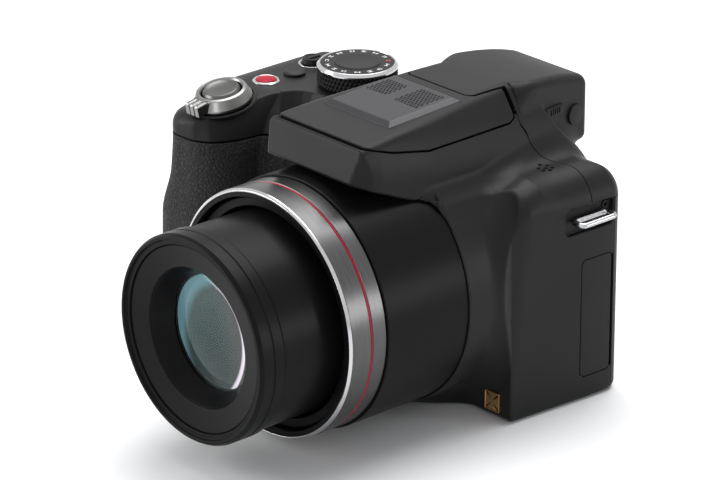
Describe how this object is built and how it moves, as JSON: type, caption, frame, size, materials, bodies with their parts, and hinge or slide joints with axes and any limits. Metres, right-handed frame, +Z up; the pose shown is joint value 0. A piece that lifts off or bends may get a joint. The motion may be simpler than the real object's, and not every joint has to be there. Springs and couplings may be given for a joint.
{
  "type": "bridge camera",
  "caption": "Compact bridge camera with a telescoping zoom lens, pop-up flash, electronic finder, rubber hand grip, top dials and keys, rear display and hinged covers.",
  "frame": {"origin": "mouth of the tripod socket, on the base under the lens axis", "axes": "+Z up; the lens looks along -Y; the hand grip is on the -X side and the terminal door on the +X side"},
  "size_m": [0.124, 0.1207, 0.0794],
  "materials": {
    "black_plastic": "satin, fine grain",
    "dark_plastic": "satin",
    "lens_black": "satin, turned",
    "grip_rubber": "leather grain",
    "silver_trim": "brushed round, polished front edge",
    "satin_silver": "satin",
    "bright_chrome": "polished",
    "signal_red": "gloss",
    "steel": "bright",
    "bronze": "satin",
    "gunmetal": "satin metallic",
    "coated_glass": "green coating",
    "clear_cover": "ribbed",
    "screen_glass": "gloss",
    "circuit": "lacquered board",
    "cell": "printed-free sleeve"
  },
  "bodies": {
    "body": {"front_cover": "black_plastic", "rear_cover": "black_plastic", "top_cover": "black_plastic", "grip_rubber": "grip_rubber", "chassis": "steel", "tripod_socket": "steel", "lens_barrel": "lens_black", "trim_ring": "silver_trim", "red_line": "signal_red", "lens_base": "dark_plastic", "rear_lens": "coated_glass", "sensor_unit": "dark_plastic", "main_board": "circuit", "zoom_motor": "steel", "flash_capacitor": "cell", "speaker": "dark_plastic", "battery_case": "dark_plastic", "battery": "cell", "memory_card": "cell", "display_panel": "cell", "display_window": "screen_glass", "finder_tube": "dark_plastic", "eyepiece_lens": "coated_glass", "eyecup": "grip_rubber", "strap_lug_right": "steel", "strap_lug_left": "steel", "badge_plate": "bronze", "terminal_block": "dark_plastic", "hinge_pins": "steel", "screws": "steel", "record_rim": "bright_chrome"},
    "zoom_front": {"zoom_front_barrel": "lens_black", "front_ring": "lens_black", "name_ring": "lens_black", "front_lens": "coated_glass"},
    "zoom_rear": {"zoom_rear_barrel": "lens_black", "variator_lens": "coated_glass"},
    "focus": {"focus_group": "coated_glass"},
    "shutter": {"shutter_button": "satin_silver"},
    "lever": {"zoom_lever": "satin_silver"},
    "dial": {"mode_dial": "dark_plastic"},
    "record": {"record_button": "signal_red"},
    "burst": {"burst_button": "dark_plastic"},
    "power": {"power_switch": "dark_plastic"},
    "flash": {"flash_lid": "black_plastic", "mic_panel": "gunmetal", "flash_head": "dark_plastic", "flash_window": "clear_cover"},
    "slider": {"flash_slider": "dark_plastic"},
    "diopter": {"diopter_wheel": "dark_plastic"},
    "terminal_door": {"terminal_door": "black_plastic"},
    "battery_door": {"battery_door": "black_plastic"},
    "battery_latch": {"battery_latch": "dark_plastic"},
    "thumb": {"thumb_dial": "dark_plastic"},
    "play": {"play_button": "dark_plastic"},
    "lock": {"lock_button": "dark_plastic"},
    "finder": {"finder_button": "dark_plastic"},
    "menu": {"menu_button": "dark_plastic"},
    "pad": {"cursor_pad": "dark_plastic"},
    "set": {"set_button": "dark_plastic"}
  },
  "joints": [
    {"name": "zoom_slide", "type": "slide", "parent": "body", "child": "zoom_front", "axis": [0, -1, 0], "range_m": [-0.022, 0.026]},
    {"name": "zoom_rear_slide", "type": "slide", "parent": "body", "child": "zoom_rear", "axis": [0, -1, 0], "range_m": [-0.011, 0.013]},
    {"name": "focus_slide", "type": "slide", "parent": "body", "child": "focus", "axis": [0, -1, 0], "range_m": [-0.001, 0.004]},
    {"name": "shutter_press", "type": "slide", "parent": "body", "child": "shutter", "axis": [0, 0.2079, -0.9781], "range_m": [0, 0.0012], "stiffness_N_per_m": 300},
    {"name": "lever_turn", "type": "hinge", "parent": "body", "child": "lever", "pos_m": [-0.0674, -0.023, 0.05837], "axis": [0, -0.2079, 0.9781], "range_deg": [-20, 20], "stiffness_Nm_per_rad": 0.02},
    {"name": "dial_turn", "type": "hinge", "parent": "body", "child": "dial", "pos_m": [-0.0497, 0.0072, 0.0605], "axis": [0, 0, 1], "continuous": true},
    {"name": "record_press", "type": "slide", "parent": "body", "child": "record", "axis": [0, 0, -1], "range_m": [0, 0.0005], "stiffness_N_per_m": 300},
    {"name": "burst_press", "type": "slide", "parent": "body", "child": "burst", "axis": [0, 0, -1], "range_m": [0, 0.0007], "stiffness_N_per_m": 300},
    {"name": "power_slide", "type": "slide", "parent": "body", "child": "power", "axis": [0, 1, 0], "range_m": [0, 0.003]},
    {"name": "flash_hinge", "type": "hinge", "parent": "body", "child": "flash", "pos_m": [0, -0.003, 0.076], "axis": [-1, 0, 0], "range_deg": [0, 50]},
    {"name": "flash_release", "type": "slide", "parent": "body", "child": "slider", "axis": [-0.0995, 0.995, 0], "range_m": [0, 0.002], "stiffness_N_per_m": 300},
    {"name": "diopter_turn", "type": "hinge", "parent": "body", "child": "diopter", "pos_m": [0.01366, 0.0224, 0.0662], "axis": [0.995, 0.0995, 0], "range_deg": [-60, 60]},
    {"name": "terminal_hinge", "type": "hinge", "parent": "body", "child": "terminal_door", "pos_m": [0.0339, 0.0063, 0.022], "axis": [0, 0, -1], "range_deg": [0, 85]},
    {"name": "battery_hinge", "type": "hinge", "parent": "body", "child": "battery_door", "pos_m": [-0.05985, -0.0105, 0.00105], "axis": [0, -1, 0], "range_deg": [0, 85]},
    {"name": "latch_slide", "type": "slide", "parent": "battery_door", "child": "battery_latch", "axis": [1, 0, 0], "range_m": [0, 0.0024]},
    {"name": "thumb_turn", "type": "hinge", "parent": "body", "child": "thumb", "pos_m": [-0.066, 0.0155, 0.0476], "axis": [0, 0, 1], "continuous": true},
    {"name": "play_press", "type": "slide", "parent": "body", "child": "play", "axis": [0, -1, 0], "range_m": [0, 0.0006], "stiffness_N_per_m": 300},
    {"name": "lock_press", "type": "slide", "parent": "body", "child": "lock", "axis": [0, -1, 0], "range_m": [0, 0.0006], "stiffness_N_per_m": 300},
    {"name": "finder_press", "type": "slide", "parent": "body", "child": "finder", "axis": [0, -1, 0], "range_m": [0, 0.0006], "stiffness_N_per_m": 300},
    {"name": "menu_press", "type": "slide", "parent": "body", "child": "menu", "axis": [0, -1, 0], "range_m": [0, 0.0006], "stiffness_N_per_m": 300},
    {"name": "pad_press", "type": "slide", "parent": "body", "child": "pad", "axis": [0, -1, 0], "range_m": [0, 0.0005], "stiffness_N_per_m": 300},
    {"name": "set_press", "type": "slide", "parent": "body", "child": "set", "axis": [0, -1, 0], "range_m": [0, 0.0006], "stiffness_N_per_m": 300}
  ],
  "couplings": [
    {"joint": "zoom_rear_slide", "follows": "zoom_slide", "ratio": 0.5}
  ]
}
